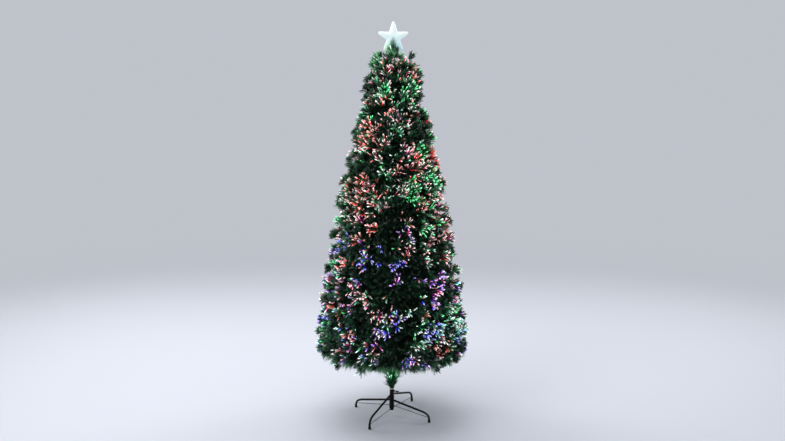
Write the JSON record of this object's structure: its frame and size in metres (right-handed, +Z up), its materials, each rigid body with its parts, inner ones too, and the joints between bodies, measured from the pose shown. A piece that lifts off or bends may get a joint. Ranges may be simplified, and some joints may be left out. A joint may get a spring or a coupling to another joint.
{
  "type": "fibre optic christmas tree",
  "caption": "Slim artificial tree with hinged brush-tipped branches on light hubs, a plug-together pole, a folding crossed-leg stand and a lit star on top.",
  "frame": {"origin": "on the floor, on the axis of the pole", "axes": "+Z up along the pole; -Y towards the front, where the star's face looks; +X to the right"},
  "size_m": [0.6824, 0.6872, 1.7995],
  "materials": {
    "black_steel": "satin",
    "foot_rubber": "matte",
    "pole_steel": "satin",
    "hub_plastic": "matte",
    "needles": "matte",
    "tie_plastic": "matte",
    "star_plastic": "satin",
    "socket_plastic": "matte",
    "gland_rubber": "matte"
  },
  "bodies": {
    "stand": {"stand_tube": "black_steel", "leg_front_left": "black_steel", "leg_back_right": "black_steel", "brace_front_left": "black_steel", "brace_back_right": "black_steel", "foot_cap_front_left": "foot_rubber", "foot_cap_back_right": "foot_rubber"},
    "swivel_legs": {"swivel_sleeve": "black_steel", "leg_left": "black_steel", "leg_right": "black_steel", "brace_left": "black_steel", "brace_right": "black_steel", "foot_cap_left": "foot_rubber", "foot_cap_right": "foot_rubber"},
    "clamp": {"clamp_screw": "black_steel"},
    "lower_section": {"lower_pole": "pole_steel", "trunk_tie": "tie_plastic", "trunk_tuft": "needles", "lead_gland": "gland_rubber", "light_hub_1": "hub_plastic", "light_hub_2": "hub_plastic"},
    "middle_section": {"middle_pole": "pole_steel", "light_hub_3": "hub_plastic", "light_hub_4": "hub_plastic"},
    "upper_section": {"upper_pole": "pole_steel", "light_hub_5": "hub_plastic", "light_hub_6": "hub_plastic", "leader_spray": "needles"},
    "star": {"star_front_shell": "star_plastic", "star_rear_shell": "star_plastic", "star_socket": "socket_plastic"},
    "branch_1_1": {"branch_1_1": "needles"},
    "branch_1_2": {"branch_1_2": "needles"},
    "branch_1_3": {"branch_1_3": "needles"},
    "branch_1_4": {"branch_1_4": "needles"},
    "branch_1_5": {"branch_1_5": "needles"},
    "branch_1_6": {"branch_1_6": "needles"},
    "branch_2_1": {"branch_2_1": "needles"},
    "branch_2_2": {"branch_2_2": "needles"},
    "branch_2_3": {"branch_2_3": "needles"},
    "branch_2_4": {"branch_2_4": "needles"},
    "branch_2_5": {"branch_2_5": "needles"},
    "branch_2_6": {"branch_2_6": "needles"},
    "branch_3_1": {"branch_3_1": "needles"},
    "branch_3_2": {"branch_3_2": "needles"},
    "branch_3_3": {"branch_3_3": "needles"},
    "branch_3_4": {"branch_3_4": "needles"},
    "branch_3_5": {"branch_3_5": "needles"},
    "branch_4_1": {"branch_4_1": "needles"},
    "branch_4_2": {"branch_4_2": "needles"},
    "branch_4_3": {"branch_4_3": "needles"},
    "branch_4_4": {"branch_4_4": "needles"},
    "branch_4_5": {"branch_4_5": "needles"},
    "branch_5_1": {"branch_5_1": "needles"},
    "branch_5_2": {"branch_5_2": "needles"},
    "branch_5_3": {"branch_5_3": "needles"},
    "branch_5_4": {"branch_5_4": "needles"},
    "branch_6_1": {"branch_6_1": "needles"},
    "branch_6_2": {"branch_6_2": "needles"},
    "branch_6_3": {"branch_6_3": "needles"}
  },
  "joints": [
    {"name": "legs_swivel", "type": "hinge", "parent": "stand", "child": "swivel_legs", "pos_m": [0, 0, 0.065], "axis": [0, 0, 1], "range_deg": [-83.7, 76.3]},
    {"name": "clamp_screw_turn", "type": "hinge", "parent": "stand", "child": "clamp", "pos_m": [0.01391, -0.00562, 0.118], "axis": [0.9272, -0.3746, 0], "continuous": true},
    {"name": "lower_section_lift", "type": "slide", "parent": "stand", "child": "lower_section", "axis": [0, 0, 1], "range_m": [0, 0.1]},
    {"name": "middle_section_lift", "type": "slide", "parent": "lower_section", "child": "middle_section", "axis": [0, 0, 1], "range_m": [0, 0.08]},
    {"name": "upper_section_lift", "type": "slide", "parent": "middle_section", "child": "upper_section", "axis": [0, 0, 1], "range_m": [0, 0.08]},
    {"name": "star_lift", "type": "slide", "parent": "upper_section", "child": "star", "axis": [0, 0, 1], "range_m": [0, 0.03]},
    {"name": "branch_1_1_fold", "type": "hinge", "parent": "lower_section", "child": "branch_1_1", "pos_m": [0.01745, 0.01007, 0.40331], "axis": [0.5, -0.866, 0], "range_deg": [0, 69], "deforming": ["branch_1_1"]},
    {"name": "branch_1_2_fold", "type": "hinge", "parent": "lower_section", "child": "branch_1_2", "pos_m": [0, 0.02015, 0.40331], "axis": [1, 0, 0], "range_deg": [0, 69], "deforming": ["branch_1_2"]},
    {"name": "branch_1_3_fold", "type": "hinge", "parent": "lower_section", "child": "branch_1_3", "pos_m": [-0.01745, 0.01007, 0.40331], "axis": [0.5, 0.866, 0], "range_deg": [0, 69], "deforming": ["branch_1_3"]},
    {"name": "branch_1_4_fold", "type": "hinge", "parent": "lower_section", "child": "branch_1_4", "pos_m": [-0.01745, -0.01007, 0.40331], "axis": [-0.5, 0.866, 0], "range_deg": [0, 69], "deforming": ["branch_1_4"]},
    {"name": "branch_1_5_fold", "type": "hinge", "parent": "lower_section", "child": "branch_1_5", "pos_m": [0, -0.02015, 0.40331], "axis": [-1, 0, 0], "range_deg": [0, 69], "deforming": ["branch_1_5"]},
    {"name": "branch_1_6_fold", "type": "hinge", "parent": "lower_section", "child": "branch_1_6", "pos_m": [0.01745, -0.01007, 0.40331], "axis": [-0.5, -0.866, 0], "range_deg": [0, 69], "deforming": ["branch_1_6"]},
    {"name": "branch_2_1_fold", "type": "hinge", "parent": "lower_section", "child": "branch_2_1", "pos_m": [0.02015, 0, 0.60084], "axis": [0, -1, 0], "range_deg": [0, 65], "deforming": ["branch_2_1"]},
    {"name": "branch_2_2_fold", "type": "hinge", "parent": "lower_section", "child": "branch_2_2", "pos_m": [0.01007, 0.01745, 0.60084], "axis": [0.866, -0.5, 0], "range_deg": [0, 65], "deforming": ["branch_2_2"]},
    {"name": "branch_2_3_fold", "type": "hinge", "parent": "lower_section", "child": "branch_2_3", "pos_m": [-0.01007, 0.01745, 0.60084], "axis": [0.866, 0.5, 0], "range_deg": [0, 65], "deforming": ["branch_2_3"]},
    {"name": "branch_2_4_fold", "type": "hinge", "parent": "lower_section", "child": "branch_2_4", "pos_m": [-0.02015, 0, 0.60084], "axis": [0, 1, 0], "range_deg": [0, 65], "deforming": ["branch_2_4"]},
    {"name": "branch_2_5_fold", "type": "hinge", "parent": "lower_section", "child": "branch_2_5", "pos_m": [-0.01007, -0.01745, 0.60084], "axis": [-0.866, 0.5, 0], "range_deg": [0, 65], "deforming": ["branch_2_5"]},
    {"name": "branch_2_6_fold", "type": "hinge", "parent": "lower_section", "child": "branch_2_6", "pos_m": [0.01007, -0.01745, 0.60084], "axis": [-0.866, -0.5, 0], "range_deg": [0, 65], "deforming": ["branch_2_6"]},
    {"name": "branch_3_1_fold", "type": "hinge", "parent": "middle_section", "child": "branch_3_1", "pos_m": [0.01916, 0.00623, 0.79843], "axis": [0.309, -0.9511, 0], "range_deg": [0, 60], "deforming": ["branch_3_1"]},
    {"name": "branch_3_2_fold", "type": "hinge", "parent": "middle_section", "child": "branch_3_2", "pos_m": [0, 0.02015, 0.79843], "axis": [1, 0, 0], "range_deg": [0, 60], "deforming": ["branch_3_2"]},
    {"name": "branch_3_3_fold", "type": "hinge", "parent": "middle_section", "child": "branch_3_3", "pos_m": [-0.01916, 0.00623, 0.79843], "axis": [0.309, 0.9511, 0], "range_deg": [0, 60], "deforming": ["branch_3_3"]},
    {"name": "branch_3_4_fold", "type": "hinge", "parent": "middle_section", "child": "branch_3_4", "pos_m": [-0.01184, -0.0163, 0.79843], "axis": [-0.809, 0.5878, 0], "range_deg": [0, 60], "deforming": ["branch_3_4"]},
    {"name": "branch_3_5_fold", "type": "hinge", "parent": "middle_section", "child": "branch_3_5", "pos_m": [0.01184, -0.0163, 0.79843], "axis": [-0.809, -0.5878, 0], "range_deg": [0, 60], "deforming": ["branch_3_5"]},
    {"name": "branch_4_1_fold", "type": "hinge", "parent": "middle_section", "child": "branch_4_1", "pos_m": [0.01184, 0.0163, 0.9995], "axis": [0.809, -0.5878, 0], "range_deg": [0, 54], "deforming": ["branch_4_1"]},
    {"name": "branch_4_2_fold", "type": "hinge", "parent": "middle_section", "child": "branch_4_2", "pos_m": [-0.01184, 0.0163, 0.9995], "axis": [0.809, 0.5878, 0], "range_deg": [0, 54], "deforming": ["branch_4_2"]},
    {"name": "branch_4_3_fold", "type": "hinge", "parent": "middle_section", "child": "branch_4_3", "pos_m": [-0.01916, -0.00623, 0.9995], "axis": [-0.309, 0.9511, 0], "range_deg": [0, 54], "deforming": ["branch_4_3"]},
    {"name": "branch_4_4_fold", "type": "hinge", "parent": "middle_section", "child": "branch_4_4", "pos_m": [0, -0.02015, 0.9995], "axis": [-1, 0, 0], "range_deg": [0, 54], "deforming": ["branch_4_4"]},
    {"name": "branch_4_5_fold", "type": "hinge", "parent": "middle_section", "child": "branch_4_5", "pos_m": [0.01916, -0.00623, 0.9995], "axis": [-0.309, -0.9511, 0], "range_deg": [0, 54], "deforming": ["branch_4_5"]},
    {"name": "branch_5_1_fold", "type": "hinge", "parent": "upper_section", "child": "branch_5_1", "pos_m": [0.01868, 0.00755, 1.21269], "axis": [0.3746, -0.9272, 0], "range_deg": [0, 47], "deforming": ["branch_5_1"]},
    {"name": "branch_5_2_fold", "type": "hinge", "parent": "upper_section", "child": "branch_5_2", "pos_m": [-0.00755, 0.01868, 1.21269], "axis": [0.9272, 0.3746, 0], "range_deg": [0, 47], "deforming": ["branch_5_2"]},
    {"name": "branch_5_3_fold", "type": "hinge", "parent": "upper_section", "child": "branch_5_3", "pos_m": [-0.01868, -0.00755, 1.21269], "axis": [-0.3746, 0.9272, 0], "range_deg": [0, 47], "deforming": ["branch_5_3"]},
    {"name": "branch_5_4_fold", "type": "hinge", "parent": "upper_section", "child": "branch_5_4", "pos_m": [0.00755, -0.01868, 1.21269], "axis": [-0.9272, -0.3746, 0], "range_deg": [0, 47], "deforming": ["branch_5_4"]},
    {"name": "branch_6_1_fold", "type": "hinge", "parent": "upper_section", "child": "branch_6_1", "pos_m": [0, 0.02015, 1.43442], "axis": [1, 0, 0], "range_deg": [0, 40], "deforming": ["branch_6_1"]},
    {"name": "branch_6_2_fold", "type": "hinge", "parent": "upper_section", "child": "branch_6_2", "pos_m": [-0.01745, -0.01007, 1.43442], "axis": [-0.5, 0.866, 0], "range_deg": [0, 40], "deforming": ["branch_6_2"]},
    {"name": "branch_6_3_fold", "type": "hinge", "parent": "upper_section", "child": "branch_6_3", "pos_m": [0.01745, -0.01007, 1.43442], "axis": [-0.5, -0.866, 0], "range_deg": [0, 40], "deforming": ["branch_6_3"]}
  ]
}
